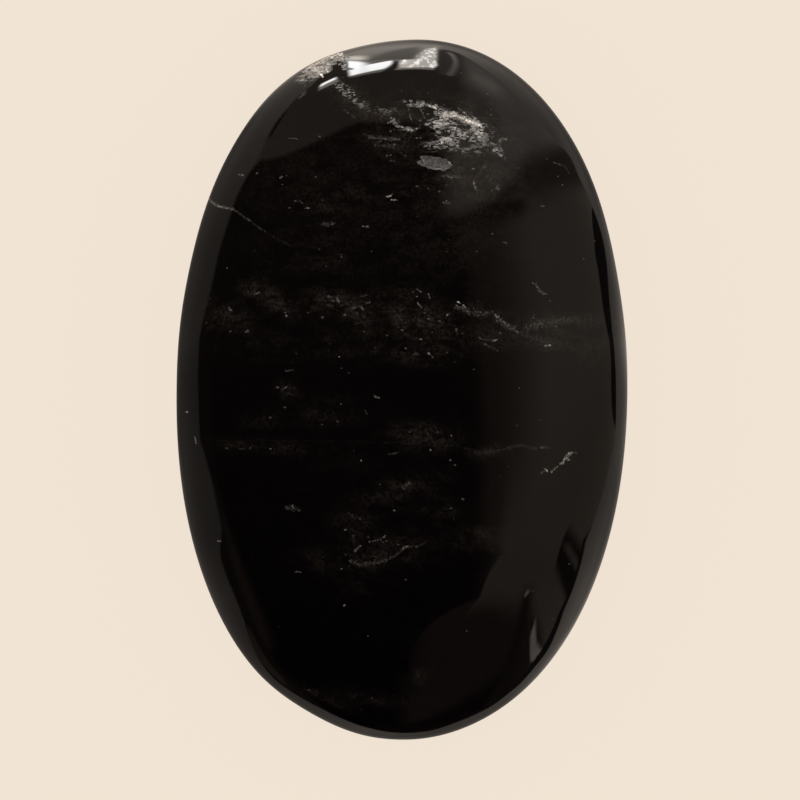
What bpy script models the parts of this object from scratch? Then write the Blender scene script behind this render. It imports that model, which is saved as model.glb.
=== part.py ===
"""A hand-polished bloodstone palm stone, modelled as one closed solid lying on its flat.

Lengths are in metres. +Z is up, +Y runs along the stone, and the origin is on the
surface that the stone rests on, under the middle of its plan.
"""

import math

import bmesh
import bpy
from mathutils import Matrix, Vector

MM = 0.001

# The stone's plan at its girdle, the widest line round it
HALF_WIDTH = 22.53 * MM
HALF_LENGTH = 34.98 * MM
OUTLINE_POWER = 2.18  # 2 gives an ellipse, and more gives fuller shoulders
LEAN = 0.39 * MM  # how far the +Y end stands over towards +X

# Where hand grinding left the outline proud or shy: degrees round from +X, spread in
# degrees, and height
SWELLS = (
    (30, 12, -0.25 * MM),
    (74, 9, 0.06 * MM),
    (96, 6, -0.29 * MM),
    (114, 6, 0.14 * MM),
    (148, 9, -0.13 * MM),
    (254, 6, -0.38 * MM),
    (272, 6, 0.14 * MM),
)
SWELL_FADE = 3  # the power of the share of the way out at which a swell dies away

# The stone's section
GIRDLE_HEIGHT = 9.0 * MM
CROWN_RISE = 10.0 * MM  # from the girdle up to the crown
BELLY_DROP = 9.25 * MM  # from the girdle down to where the belly would end without its flat
CROWN_POWER = 2.3  # how full the crown is across its top; 2 is an ellipse
BELLY_POWER = 2.5
RIM_POWER = 2.2  # how full both are up and down the rim
CROWN_SHIFT = (1.6 * MM, -1.5 * MM)  # the highest spot is a little off the middle

# The shallow chip in the crown near the +Y end
CHIP_SPOT = (3.2 * MM, 21.8 * MM)
CHIP_HALF_LENGTH = 1.75 * MM
CHIP_HALF_WIDTH = 0.78 * MM
CHIP_DEPTH = 0.22 * MM
CHIP_TURN = math.radians(-9)  # its long axis, from +X
CHIP_CUTTER_HEIGHT = 0.7 * MM  # half height of the lens that scoops it out

# The mesh
SEGMENTS = 96
CROWN_RINGS = 18
BELLY_RINGS = 14
CHIP_SEGMENTS = 28
CHIP_RINGS = 16
SOLVE_STEPS = 12


def power_of(value, power):
    """The value to a power, with its sign kept."""
    return math.copysign(abs(value) ** power, value)


def swell(angle):
    """How far the girdle stands proud of the plain oval, at an angle round the stone."""
    height = 0.0
    for centre, spread, peak in SWELLS:
        away = (math.degrees(angle) - centre + 180) % 360 - 180
        height += peak * math.exp(-0.5 * (away / spread) ** 2)
    return height


def plan_point(turn, share):
    """A point in plan, at a turn round the outline and a share of the way out to it."""
    across = power_of(math.cos(turn), 2 / OUTLINE_POWER) * HALF_WIDTH
    along = power_of(math.sin(turn), 2 / OUTLINE_POWER) * HALF_LENGTH
    across += LEAN * along / HALF_LENGTH
    proud = swell(math.atan2(along, across)) / math.hypot(across, along)
    reach = share * (1 + proud * share**SWELL_FADE)
    return Vector((across * reach, along * reach))


def plan_middle():
    """The middle of the outline's box, which becomes the origin."""
    rim = [plan_point(math.tau * step / 720, 1) for step in range(720)]
    xs = [point.x for point in rim]
    ys = [point.y for point in rim]
    return Vector(((min(xs) + max(xs)) / 2, (min(ys) + max(ys)) / 2))


MIDDLE = plan_middle()


def dome(share, power):
    """How high a dome stands at a share of the way out, as a share of its rise."""
    return max(0, 1 - share**power) ** (1 / RIM_POWER)


def crown_point(turn, share):
    """A point on the upper face."""
    inward = 1 - share**2
    spot = plan_point(turn, share) + Vector(CROWN_SHIFT) * inward - MIDDLE
    height = GIRDLE_HEIGHT + CROWN_RISE * dome(share, CROWN_POWER)
    return Vector((*spot, height))


def belly_point(turn, share):
    """A point on the lower face, which the flat cuts off at the ground."""
    spot = plan_point(turn, share) - MIDDLE
    height = GIRDLE_HEIGHT - BELLY_DROP * dome(share, BELLY_POWER)
    return Vector((*spot, height))


def crown_above(x, y):
    """The crown point over a spot in plan, found by closing in on it."""
    turn = math.atan2(y / HALF_LENGTH, x / HALF_WIDTH)
    share = 0.5
    step = 1e-4
    for _ in range(SOLVE_STEPS):
        here = crown_point(turn, share)
        by_turn = (crown_point(turn + step, share) - here) / step
        by_share = (crown_point(turn, share + step) - here) / step
        miss = Vector((x - here.x, y - here.y))
        size = by_turn.x * by_share.y - by_turn.y * by_share.x
        turn += (miss.x * by_share.y - miss.y * by_share.x) / size
        share += (by_turn.x * miss.y - by_turn.y * miss.x) / size
    normal = by_share.cross(by_turn).normalized()
    return crown_point(turn, share), normal


def ring(mesh, face_point, share):
    """A closed ring of vertices round the stone at one share of the way out."""
    return [
        mesh.verts.new(face_point(math.tau * step / SEGMENTS, share))
        for step in range(SEGMENTS)
    ]


def bridge(mesh, outer, inner):
    """Faces between two rings, the second one further in or further up."""
    for step in range(SEGMENTS):
        after = (step + 1) % SEGMENTS
        mesh.faces.new((outer[step], outer[after], inner[after], inner[step]))


def stone_mesh():
    """The whole stone before its chip: crown rings, belly rings and the resting flat."""
    mesh = bmesh.new()
    girdle = ring(mesh, crown_point, 1)

    outer = girdle
    for step in range(1, CROWN_RINGS):
        tilt = math.pi / 2 * step / CROWN_RINGS
        inner = ring(mesh, crown_point, math.cos(tilt) ** (2 / CROWN_POWER))
        bridge(mesh, outer, inner)
        outer = inner
    top = mesh.verts.new(crown_point(0, 0))
    for step in range(SEGMENTS):
        mesh.faces.new((outer[step], outer[(step + 1) % SEGMENTS], top))

    flat_tilt = math.asin((GIRDLE_HEIGHT / BELLY_DROP) ** (RIM_POWER / 2))
    outer = girdle
    for step in range(1, BELLY_RINGS + 1):
        tilt = flat_tilt * step / BELLY_RINGS
        inner = ring(mesh, belly_point, math.cos(tilt) ** (2 / BELLY_POWER))
        bridge(mesh, inner, outer)
        outer = inner
    for vertex in outer:
        vertex.co.z = 0
    mesh.faces.new(reversed(outer))
    return mesh


def add_object(name, mesh, material=None):
    """The mesh as an object in the scene, shaded smooth but for the flat's edge."""
    data = bpy.data.meshes.new(name)
    mesh.to_mesh(data)
    mesh.free()
    data.shade_smooth()
    data.set_sharp_from_angle(angle=math.radians(30))
    if material:
        data.materials.append(material)
    thing = bpy.data.objects.new(name, data)
    bpy.context.scene.collection.objects.link(thing)
    return thing


def chip_cutter():
    """A thin lens, sunk into the crown by the chip's depth."""
    spot, normal = crown_above(*CHIP_SPOT)
    sunk = 1 - CHIP_DEPTH / CHIP_CUTTER_HEIGHT
    widening = 1 / math.sqrt(1 - sunk**2)
    mesh = bmesh.new()
    bmesh.ops.create_uvsphere(
        mesh, u_segments=CHIP_SEGMENTS, v_segments=CHIP_RINGS, radius=1
    )
    size = Matrix.Diagonal(
        (
            CHIP_HALF_LENGTH * widening,
            CHIP_HALF_WIDTH * widening,
            CHIP_CUTTER_HEIGHT,
            1,
        )
    )
    along = Vector((math.cos(CHIP_TURN), math.sin(CHIP_TURN), 0))
    side = normal.cross(along).normalized()
    along = side.cross(normal)
    axes = Matrix((along, side, normal)).transposed().to_4x4()
    place = Matrix.Translation(spot + normal * (CHIP_CUTTER_HEIGHT - CHIP_DEPTH))
    mesh.transform(place @ axes @ size)
    cutter = add_object("chip_cutter", mesh)
    cutter.hide_render = True
    cutter.display_type = "WIRE"
    return cutter


def polished_stone():
    """Near-black stone with a high polish."""
    material = bpy.data.materials.new("polished_stone")
    material.use_nodes = True
    shader = material.node_tree.nodes["Principled BSDF"]
    shader.inputs["Base Color"].default_value = (0.004, 0.003, 0.0025, 1)
    shader.inputs["Roughness"].default_value = 0.06
    shader.inputs["Metallic"].default_value = 0
    shader.inputs["IOR"].default_value = 1.54
    return material


def build():
    for thing in list(bpy.data.objects):
        bpy.data.objects.remove(thing)
    stone = add_object("bloodstone", stone_mesh(), polished_stone())
    chip = stone.modifiers.new("chip", "BOOLEAN")
    chip.operation = "DIFFERENCE"
    chip.solver = "EXACT"
    chip.object = chip_cutter()


build()
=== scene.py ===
"""The looks of a hand-polished bloodstone palm stone, lying on a pale floor under soft light.

Lengths are in metres unless a name says otherwise. Marks on the stone and shapes in its
reflections are placed by pixels of the 800x800 frame, which fall on the stone through the
same formula that makes its surface.
"""

import math

import bmesh
import bpy
import numpy as np
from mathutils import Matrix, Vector, noise


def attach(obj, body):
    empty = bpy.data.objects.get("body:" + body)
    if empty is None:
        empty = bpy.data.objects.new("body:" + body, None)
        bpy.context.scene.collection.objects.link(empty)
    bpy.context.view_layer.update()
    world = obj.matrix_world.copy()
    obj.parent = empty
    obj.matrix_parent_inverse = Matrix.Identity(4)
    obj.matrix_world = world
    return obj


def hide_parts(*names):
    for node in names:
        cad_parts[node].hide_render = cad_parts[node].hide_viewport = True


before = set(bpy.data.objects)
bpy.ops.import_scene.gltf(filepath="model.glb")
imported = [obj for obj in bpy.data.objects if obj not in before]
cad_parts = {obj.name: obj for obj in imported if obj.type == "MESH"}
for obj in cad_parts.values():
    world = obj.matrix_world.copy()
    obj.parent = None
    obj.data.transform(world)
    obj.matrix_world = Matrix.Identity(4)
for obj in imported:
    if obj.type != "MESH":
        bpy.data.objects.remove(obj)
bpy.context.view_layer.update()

MM = 0.001
NODE = "bloodstone"

# The stone's plan at its girdle, as in the CAD
HALF_WIDTH = 22.53 * MM
HALF_LENGTH = 34.98 * MM
OUTLINE_POWER = 2.18
LEAN = 0.39 * MM
SWELLS = (  # the angle and spread of each in degrees, and its height
    (30, 12, -0.25 * MM), (74, 9, 0.06 * MM), (96, 6, -0.29 * MM), (114, 6, 0.14 * MM),
    (148, 9, -0.13 * MM), (254, 6, -0.38 * MM), (272, 6, 0.14 * MM),
)
SWELL_FADE = 3  # the power by which they fade towards the middle

# Its section, as in the CAD
GIRDLE_HEIGHT = 9.0 * MM
CROWN_RISE = 10.0 * MM
BELLY_DROP = 9.25 * MM
CROWN_POWER = 2.3
BELLY_POWER = 2.5
RIM_POWER = 2.2
CROWN_SHIFT = (1.6 * MM, -1.5 * MM)
FLAT_SOFTNESS = 0.06 * MM  # how far the resting flat's edge is rounded over

CHIP_DEPTH = 0.22 * MM  # as in the CAD
IOR = 1.54

# The camera looks straight down, with a square frame
FRAME_PIXELS = 800
FRAME_MIDDLE = FRAME_PIXELS / 2
PIXEL = 0.1001 * MM  # at the girdle's height
LENS_MM = 100
SENSOR_MM = 36
CLIPPING = (0.01, 20)  # the nearest and farthest that it sees
CAMERA_DISTANCE = PIXEL * FRAME_PIXELS * LENS_MM / SENSOR_MM
CAMERA_SPOT = np.array((-0.19 * MM, -1.04 * MM, GIRDLE_HEIGHT + CAMERA_DISTANCE))


# -------- the stone's form


def unit(vectors):
    return vectors / np.linalg.norm(vectors, axis=1)[:, None]


def signed_power(value, power):
    return np.sign(value) * np.abs(value) ** power


def plan_points(turn, share):
    """Spots in plan, at turns round the outline and shares of the way out to it."""
    across = HALF_WIDTH * signed_power(np.cos(turn), 2 / OUTLINE_POWER)
    along = HALF_LENGTH * signed_power(np.sin(turn), 2 / OUTLINE_POWER)
    across = across + LEAN * along / HALF_LENGTH
    angle = np.degrees(np.arctan2(along, across))
    swell = 0
    for centre, spread, peak in SWELLS:
        away = (angle - centre + 180) % 360 - 180
        swell = swell + peak * np.exp(-0.5 * (away / spread) ** 2)
    reach = share * (1 + swell / np.hypot(across, along) * share**SWELL_FADE)
    return np.stack((across * reach, along * reach), -1)


RIM = plan_points(np.arange(720) * math.tau / 720, 1.0)
MIDDLE = (RIM.min(0) + RIM.max(0)) / 2


def crown_points(turn, share):
    """Points on the upper face."""
    inward = (1 - share**2)[:, None]
    plan = plan_points(turn, share) + np.array(CROWN_SHIFT) * inward - MIDDLE
    height = GIRDLE_HEIGHT + CROWN_RISE * np.maximum(0, 1 - share**CROWN_POWER) ** (1 / RIM_POWER)
    return np.column_stack((plan, height))


def stone_points(directions):
    """Points on the whole surface, one for each direction out from the stone's middle."""
    across, along, up = unit(directions).T
    turn = np.arctan2(along, across)
    level = np.hypot(across, along)
    rise = np.abs(up) ** (2 / RIM_POWER)
    crown = crown_points(turn, level ** (2 / CROWN_POWER))
    crown[:, 2] = GIRDLE_HEIGHT + CROWN_RISE * rise
    belly = plan_points(turn, level ** (2 / BELLY_POWER)) - MIDDLE
    drop = GIRDLE_HEIGHT - BELLY_DROP * rise
    drop = (drop + np.hypot(drop, FLAT_SOFTNESS)) / 2
    return np.where(up[:, None] >= 0, crown, np.column_stack((belly, drop)))


# -------- pixels on the stone

SOLVE_ROUNDS = 40
SMALL_STEP = 1e-5
LARGEST_STEPS = np.array((0.3, 0.1))  # of the turn and the share, in one round
FIRST_SHARES = (0.02, 0.985)  # the bounds of the share that the rounds start from
SHARES = (1e-3, 0.9999)  # and of those they come to


def pixels_of(points):
    """Where the camera sees points."""
    scale = CAMERA_DISTANCE / PIXEL / (CAMERA_SPOT[2] - points[..., 2:])
    return FRAME_MIDDLE + scale * (points[..., :2] - CAMERA_SPOT[:2]) * (1, -1)


def crown_at(pixels):
    """The crown points seen at pixels, and the surface normals there."""
    pixels = np.atleast_2d(np.array(pixels, float))
    across, along = (pixels - FRAME_MIDDLE).T * PIXEL
    across, along = across / HALF_WIDTH, -along / HALF_LENGTH
    turn = np.arctan2(along, across)
    share = np.clip(np.hypot(across, along), *FIRST_SHARES)
    for _ in range(SOLVE_ROUNDS):
        here = pixels_of(crown_points(turn, share))
        by_turn = (pixels_of(crown_points(turn + SMALL_STEP, share)) - here) / SMALL_STEP
        by_share = (here - pixels_of(crown_points(turn, share - SMALL_STEP))) / SMALL_STEP
        slopes = np.stack((by_turn, by_share), -1)
        steps = np.linalg.solve(slopes, (pixels - here)[..., None])[..., 0]
        turn_by, share_by = np.clip(steps, -LARGEST_STEPS, LARGEST_STEPS).T
        turn = turn + turn_by
        share = np.clip(share + share_by, *SHARES)
    spots = crown_points(turn, share)
    along = crown_points(turn + SMALL_STEP, share) - spots
    out = spots - crown_points(turn, share - SMALL_STEP)
    return spots, unit(np.cross(out, along))


def mirrored(pixels):
    """What the stone mirrors at pixels: the direction's spot on a flat map of the
    surroundings, and the share of light that the polish returns there.

    On the map the sky overhead is at 0, 0 and the horizon is the circle of radius 1.
    """
    spots, normals = crown_at(pixels)
    sight = unit(CAMERA_SPOT - spots)
    facing = (sight * normals).sum(1)
    away = 2 * facing[:, None] * normals - sight
    inner = np.sqrt(IOR**2 - 1 + facing**2)
    gap = (inner - facing) / (inner + facing)
    turned = (facing * (inner + facing) - 1) / (facing * (inner - facing) + 1)
    fresnel = gap**2 / 2 * (1 + turned**2)
    return away[:, :2] / (1 + away[:, 2:]), fresnel


# -------- marks in the stone
# Places and sizes are in pixels of the frame. A tone is a brightness from 0 to 255.

# Threads, dashes and specks of pale mineral, and a few strokes of painted highlight and painted
# shade at the chip, in a crack and on the rim: a stroke's half width in pixels, its tone, and x
# and y of each pixel that it runs through
STROKES = (
    # a healed crack that runs in over the rim
    (1.2, 92, 209, 199, 214, 204, 222, 207, 233, 209), (0.9, 50, 233, 209, 242, 215, 250, 221),
    (0.8, 36, 250, 221, 258, 227, 266, 232), (0.9, 22, 266, 232, 272, 236, 284, 242, 290, 246),
    # the long wavy thread across the middle
    (0.5, 15, 216, 441, 260, 440, 300, 441, 345, 441, 400, 443),
    (0.8, 20, 400, 443, 432, 446, 455, 445, 470, 449, 485, 452), (1.6, 26, 480, 452, 495, 452, 505, 449),
    (1.5, 27, 505, 449, 520, 445, 532, 448, 538, 449), (1.2, 40, 541, 447, 549, 448),
    # the bright dashes on the right of it
    (0.9, 120, 545, 469, 547, 471), (0.8, 90, 551, 472, 558, 466), (1.5, 110, 561, 464, 564, 461),
    (1.7, 100, 565, 459, 568, 455, 571, 453), (1, 95, 566, 455, 569, 460), (0.6, 80, 575, 452, 576, 453),
    (0.9, 55, 541, 473, 544, 471),
    # the curved streaks low in the middle
    (1.8, 42, 351, 561, 360, 565, 372, 563, 385, 560), (1.1, 42, 385, 560, 395, 556, 402, 550),
    (1.3, 70, 402, 549, 409, 546), (0.6, 42, 409, 547, 418, 546, 425, 543), (0.9, 58, 369, 542, 378, 540),
    (0.8, 88, 381, 539, 385, 536), (1, 38, 353, 536, 354, 542), (1, 66, 355, 551, 358, 548),
    (1.2, 30, 348, 512, 352, 516),
    # the belt above the middle
    (2.2, 62, 457, 306, 463, 309, 470, 312), (0.8, 160, 458, 302, 460, 303), (0.7, 125, 456, 305, 459, 307),
    (0.6, 105, 463, 305, 467, 309), (1.4, 46, 470, 312, 478, 315, 492, 312), (0.5, 80, 475, 311, 480, 312),
    (1.1, 105, 495, 315, 498, 317, 501, 321), (2.8, 50, 498, 320, 505, 325, 513, 328),
    (0.5, 100, 503, 321, 508, 325), (0.8, 60, 515, 331, 520, 333), (0.8, 62, 480, 338, 487, 340, 497, 340),
    (0.9, 95, 492, 341, 496, 340), (0.6, 42, 483, 344, 491, 347, 498, 351), (3.4, 45, 528, 327, 541, 324),
    (2.6, 36, 550, 322, 576, 319), (2.6, 30, 523, 334, 546, 341), (0.8, 120, 545, 346, 550, 345),
    (1, 105, 533, 283, 536, 284), (0.9, 80, 536, 285, 538, 288), (1.2, 68, 539, 290, 541, 292, 545, 294),
    (0.8, 80, 418, 303, 422, 308), (0.7, 80, 428, 294, 430, 298), (0.7, 70, 417, 289, 421, 292),
    (0.7, 85, 447, 315, 449, 313), (1, 75, 456, 329, 457, 334), (1, 95, 428, 353, 429, 353),
    (0.7, 70, 431, 355, 433, 357), (1.1, 52, 414, 354, 418, 354), (1.1, 58, 254, 294, 259, 293),
    (1.1, 64, 229, 308, 231, 310), (1.1, 80, 246, 332, 248, 331), (1, 66, 337, 298, 339, 302),
    (1.1, 54, 327, 296, 331, 297), (1, 42, 325, 305, 333, 306), (0.8, 66, 366, 303, 370, 302),
    (1, 50, 362, 296, 367, 295), (1.4, 62, 360, 306, 363, 309), (1.2, 60, 353, 308, 356, 307),
    (0.9, 110, 286, 316), (0.7, 115, 339, 357), (0.5, 100, 550, 301),
    # dashes and specks above the belt
    (0.8, 140, 387, 197, 392, 195), (0.6, 130, 390, 200, 397, 200), (0.7, 85, 361, 226, 369, 227),
    (0.6, 58, 294, 201, 300, 201, 303, 204), (0.7, 75, 305, 208, 309, 208), (1.8, 44, 323, 224, 334, 224),
    (0.8, 54, 344, 110, 349, 113, 355, 118), (0.8, 95, 280, 178, 282, 177), (0.5, 70, 289, 138, 299, 139),
    (0.9, 85, 239, 174, 243, 175), (0.6, 62, 503, 242, 507, 243), (0.6, 62, 541, 206, 545, 206),
    (1.5, 105, 474, 183, 476, 188), (1.5, 70, 445, 176, 458, 177), (0.5, 62, 553, 162, 557, 164),
    (0.8, 42, 558, 164, 565, 166, 569, 173), (1.5, 54, 444, 202, 451, 203), (2.2, 74, 498, 188),
    (0.6, 85, 562, 185), (0.8, 80, 518, 168), (2.2, 62, 484, 167), (0.7, 70, 255, 250), (0.8, 60, 364, 239),
    # streaks under the pale patch
    (1.6, 58, 370, 137, 385, 138, 399, 139), (1.4, 42, 376, 145, 390, 146, 398, 150),
    (1, 28, 398, 150, 403, 155, 405, 158), (0.8, 40, 363, 134, 369, 136), (0.8, 48, 389, 161, 396, 161),
    # grains, ridges and cracks in the patch; the dark line of tone 20 across its brightest part is a
    # crack's painted shade
    (0.9, 125, 396, 126, 403, 127), (1, 125, 405, 129, 411, 131), (0.8, 100, 415, 129, 420, 128),
    (0.9, 95, 388, 123, 393, 121), (1.1, 115, 394, 119, 396, 124), (0.7, 95, 420, 108, 425, 118),
    (0.8, 62, 408, 106, 410, 114, 412, 122), (1.3, 180, 441, 117, 448, 116, 456, 115),
    (1.2, 200, 458, 117, 462, 118), (2, 225, 466, 120.5, 473, 123, 479, 125),
    (0.6, 20, 461, 112, 464, 118, 468, 124), (0.5, 130, 464, 112, 470, 118), (0.6, 90, 458, 108, 462, 111),
    (0.9, 150, 453, 128, 457, 128), (1.2, 185, 430, 106, 436, 108), (1.8, 135, 449, 141, 454, 144),
    (1.1, 140, 476, 131, 480, 134), (1.6, 120, 484, 134, 488, 139), (1.4, 88, 500, 141, 502, 139, 506, 139),
    (1.3, 66, 500, 142, 499, 149), (0.7, 190, 441, 143, 443, 143),
    # grains where the patch breaks out over the rim; its brightest grains are painted highlights
    (0.8, 190, 315, 67.5, 319, 66.5, 323, 67), (0.7, 240, 315.5, 68, 317, 69.5),
    (0.9, 249, 320, 73.5, 323, 77), (0.9, 190, 326, 68, 328, 72), (1.6, 235, 331, 57, 338, 54, 342, 54.5),
    (1.6, 205, 304, 71.5, 311, 66, 320, 61.5, 329, 57), (1.4, 150, 336, 59.5, 348, 58),
    (1.8, 48, 300, 97, 305, 92), (0.9, 56, 303, 81, 305, 86),
    # the chip's lit edges as painted highlights, and a painted shadow along its far side
    (0.7, 150, 449, 161.5, 451.5, 165), (0.8, 150, 435, 168, 440, 168.5), (0.8, 110, 421, 157, 423, 160),
    (0.6, 4, 423, 154.7, 432, 155, 442, 156.5),
    # dashes and specks below the belt
    (0.8, 64, 286, 371, 293, 370), (0.8, 62, 283, 389, 288, 386), (0.8, 66, 374, 396, 379, 398),
    (0.6, 65, 365, 410, 367, 414), (0.5, 38, 242, 449, 250, 448, 254, 445), (0.9, 60, 240, 449),
    (1.2, 45, 226, 448), (0.7, 55, 389, 454, 398, 453), (0.8, 150, 361, 461), (0.7, 90, 354, 450),
    (2.4, 105, 293, 508), (1.8, 40, 287, 507, 299, 510), (2.2, 50, 404, 487, 409, 484),
    (1, 62, 296, 572, 300, 572), (0.7, 95, 344, 606, 345, 605), (0.7, 80, 368, 636), (0.5, 40, 297, 371),
    (1.2, 64, 410, 432), (1.1, 45, 428, 434), (1.2, 52, 437, 432), (1, 55, 432, 440), (1, 64, 431, 450),
    (0.8, 45, 446, 446), (1, 80, 450, 460), (1.1, 60, 463, 499), (0.8, 95, 218, 541, 220, 541),
    (1.1, 140, 187, 412), (0.7, 90, 195, 437, 196, 443), (1, 58, 517, 426), (0.7, 56, 540, 420),
    (0.7, 70, 467, 631), (0.6, 75, 553, 619), (1.1, 36, 418, 676),
)

# Brown-grey clouds: x and y of the middle, half length, half width, tilt in degrees clockwise,
# and strength
CLOUDS = (
    (258, 291, 14, 7, 10, 0.75), (276, 302, 16, 7, 35, 0.7), (228, 318, 22, 12, 15, 0.45),
    (332, 300, 16, 7, 10, 0.9), (312, 310, 14, 5, 0, 0.6), (357, 309, 15, 9, 10, 0.9),
    (364, 323, 8, 10, 0, 0.6), (416, 320, 30, 17, 25, 0.9), (424, 338, 30, 12, 15, 0.65),
    (400, 352, 30, 8, 10, 0.4), (480, 312, 26, 6, 8, 0.5), (488, 335, 28, 12, 12, 0.4),
    (545, 325, 26, 8, -4, 0.7), (530, 336, 24, 8, 15, 0.6), (560, 322, 36, 6, -4, 0.8),
    (540, 340, 30, 7, 12, 0.7), (585, 345, 24, 12, 0, 0.4), (330, 346, 50, 12, 2, 0.2),
    (255, 340, 40, 16, 5, 0.14), (340, 190, 80, 40, 15, 0.22), (430, 215, 60, 50, 20, 0.22),
    (330, 203, 8, 6, 0, 1.3), (320, 264, 52, 12, 0, 0.2), (488, 452, 14, 5, 0, 0.7),
    (362, 194, 8, 7, 30, 0.6), (330, 245, 60, 24, 0, 0.16), (468, 175, 42, 24, 10, 0.75),
    (424, 437, 22, 9, 5, 0.75), (240, 445, 22, 5, 0, 0.3), (285, 449, 20, 6, 3, 0.25),
    (288, 391, 9, 6, 20, 0.45), (325, 412, 24, 10, 0, 0.3), (268, 420, 22, 6, 0, 0.25),
    (330, 460, 34, 14, 0, 0.1), (400, 489, 30, 10, -15, 0.4), (355, 525, 16, 16, 30, 0.35),
    (385, 554, 40, 13, -12, 0.36), (316, 560, 14, 10, 10, 0.3), (440, 508, 18, 9, 0, 0.25),
    (478, 540, 18, 8, 0, 0.5), (353, 589, 12, 5, 0, 0.2), (462, 130, 48, 26, 20, 0.75),
    (355, 100, 26, 10, 38, 0.9), (385, 112, 20, 10, 10, 0.9), (400, 140, 30, 16, 5, 0.55),
    (420, 115, 16, 9, 0, 0.7), (323, 697, 17, 3, 26, 0.6), (370, 699, 28, 6, 5, 0.3),
    (418, 676, 6, 5, 0, 0.5),
)

# The pale grainy patch near the +Y end, and the hollows in it
PATCH = (
    (457, 130, 33, 18, 18, 0.6), (421, 105, 18, 4, 8, 0.62), (449, 115, 16, 5, 6, 0.95),
    (473, 122.5, 11, 4, 18, 1.15), (461, 117, 7, 3, 20, 1.1), (438, 123, 13, 6, 0, 0.85),
    (456, 129, 15, 6, 10, 0.8), (450, 141, 10, 5, 15, 0.95), (470, 137, 13, 7, 20, 0.75),
    (480, 136, 10, 6, 60, 0.9), (496, 149, 13, 5, 50, 0.48), (435, 145, 17, 8, 0, 0.36),
    (462, 149, 24, 4, 5, 0.42), (345, 65, 3.5, 6, 15, 0.46), (346, 91, 13, 5.5, 40, 0.5),
    (361, 103, 14, 6, 32, 0.42), (386, 111, 16, 7, 8, 0.3), (384, 143, 18, 6, 3, 0.26),
    (395, 121, 6, 4, 30, 0.44), (408, 129, 12, 3, 5, 0.42),
)
HOLLOWS = (
    (417, 116, 7, 5, 20, 0.9), (429, 114, 4, 5, 0, 0.6), (462, 126, 4, 2.5, 10, 0.4),
    (464, 144, 6, 2.5, 0, 0.4), (446, 133, 5, 2, 0, 0.25), (427, 132, 5, 5, 0, 0.5),
    (330, 60.5, 3, 1.5, -10, 0.8), (336.5, 62, 3, 1.5, 0, 0.7), (318, 65.5, 2.2, 1.1, 0, 0.7),
    (323.5, 65, 2.5, 1.3, 0, 0.6), (333, 66, 2.5, 1.5, 10, 0.8), (303, 73.5, 2, 1.5, 20, 0.6),
    (307, 69, 3, 1.2, -20, 0.5), (313, 72, 2.5, 1, 0, 0.5), (306, 77, 2.5, 1.2, 0, 0.5),
)

# Where the patch breaks out over the rim: its middle's pixel and its reach in millimetres
RIM_PATCH_PIXEL = (321, 67)
RIM_PATCH_REACH_MM = (2.5, 0.9, 2.4)
RIM_PATCH_TURN = math.radians(30)

# The chip's outline, and how wide the wall is that slopes down from it
CHIP_OUTLINE = (
    (416.5, 162.5), (420.5, 156), (428, 155.5), (441, 157.5), (448, 160.5), (452, 164.5),
    (451, 168), (445, 170.5), (433, 169.5), (424, 166.5),
)
CHIP_WALL = 0.25 * MM
CHIP_BITE = (417.5, 158.3)  # the middle of the round bite out of its left end
CHIP_BITE_RADIUS = 0.33 * MM
# Waves of its ragged outline: height in widths of the wall, and turn in radians per mm
CHIP_WAVES = ((0.14, (9, 4)), (0.1, (-7, 15)))
NO_CHIP = -9  # the depth below the girdle, where there is none


def plan_mm(pixels):
    return crown_at(pixels)[0][:, :2] / MM


def path_distance(plan, path, reach):
    """How far spots lie from a path, where that is within reach."""
    close = ((plan > path.min(0) - reach) & (plan < path.max(0) + reach)).all(1)
    spots = plan[close]
    nearest = np.full(len(spots), np.inf)
    for start, end in zip(path, path[1:] if len(path) > 1 else path):
        run = end - start
        share = (spots - start) @ run / max(run @ run, 1e-9)
        foot = start + np.clip(share, 0, 1)[:, None] * run
        nearest = np.minimum(nearest, np.linalg.norm(spots - foot, axis=1))
    distance = np.full(len(plan), np.inf)
    distance[close] = nearest
    return distance


def turned(offset, turn):
    """Offsets as parts along a direction and across it."""
    run = (math.cos(turn), math.sin(turn))
    return offset @ run, offset @ (-run[1], run[0])


def blobs(plan, shapes):
    """How deep each spot lies in soft oval shapes: 1 in a middle, a half at an edge."""
    depth = np.zeros(len(plan))
    middles = plan_mm([shape[:2] for shape in shapes])
    for middle, (_, _, half_length, half_width, tilt, strength) in zip(middles, shapes):
        along, across = turned(plan - middle, -math.radians(tilt))
        along = along / (half_length * PIXEL / MM)
        across = across / (half_width * PIXEL / MM)
        depth = np.maximum(depth, strength * np.exp2(-(along**2 + across**2)))
    return depth


def linear(tone):
    """The light that a tone from 0 to 255 stands for."""
    share = tone / 255
    return share / 12.92 if share < 0.04045 else ((share + 0.055) / 1.055) ** 2.4


def stroke_paths():
    """The strokes with their places and half widths in millimetres and their tones as light."""
    places = [np.reshape(row[2:], (-1, 2)) for row in STROKES]
    ends = np.cumsum([len(path) for path in places])
    paths = np.split(plan_mm(np.concatenate(places)), ends[:-1])
    return [(path, row[0] * PIXEL / MM, linear(row[1])) for path, row in zip(paths, STROKES)]


PATHS = stroke_paths()


def rim_patch(points):
    """How deep points lie in the patch where it breaks out over the rim."""
    offset = (points - crown_at(RIM_PATCH_PIXEL)[0]) / MM
    along, across = turned(offset[:, :2], RIM_PATCH_TURN)
    parts = np.stack((along, across, offset[:, 2])) / np.reshape(RIM_PATCH_REACH_MM, (3, 1))
    return np.exp2(-((parts**2).sum(0) ** 2))


def whole_patch(points):
    plan = points[:, :2] / MM
    return np.maximum(blobs(plan, PATCH) * (points[:, 2] > GIRDLE_HEIGHT), rim_patch(points))


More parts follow.
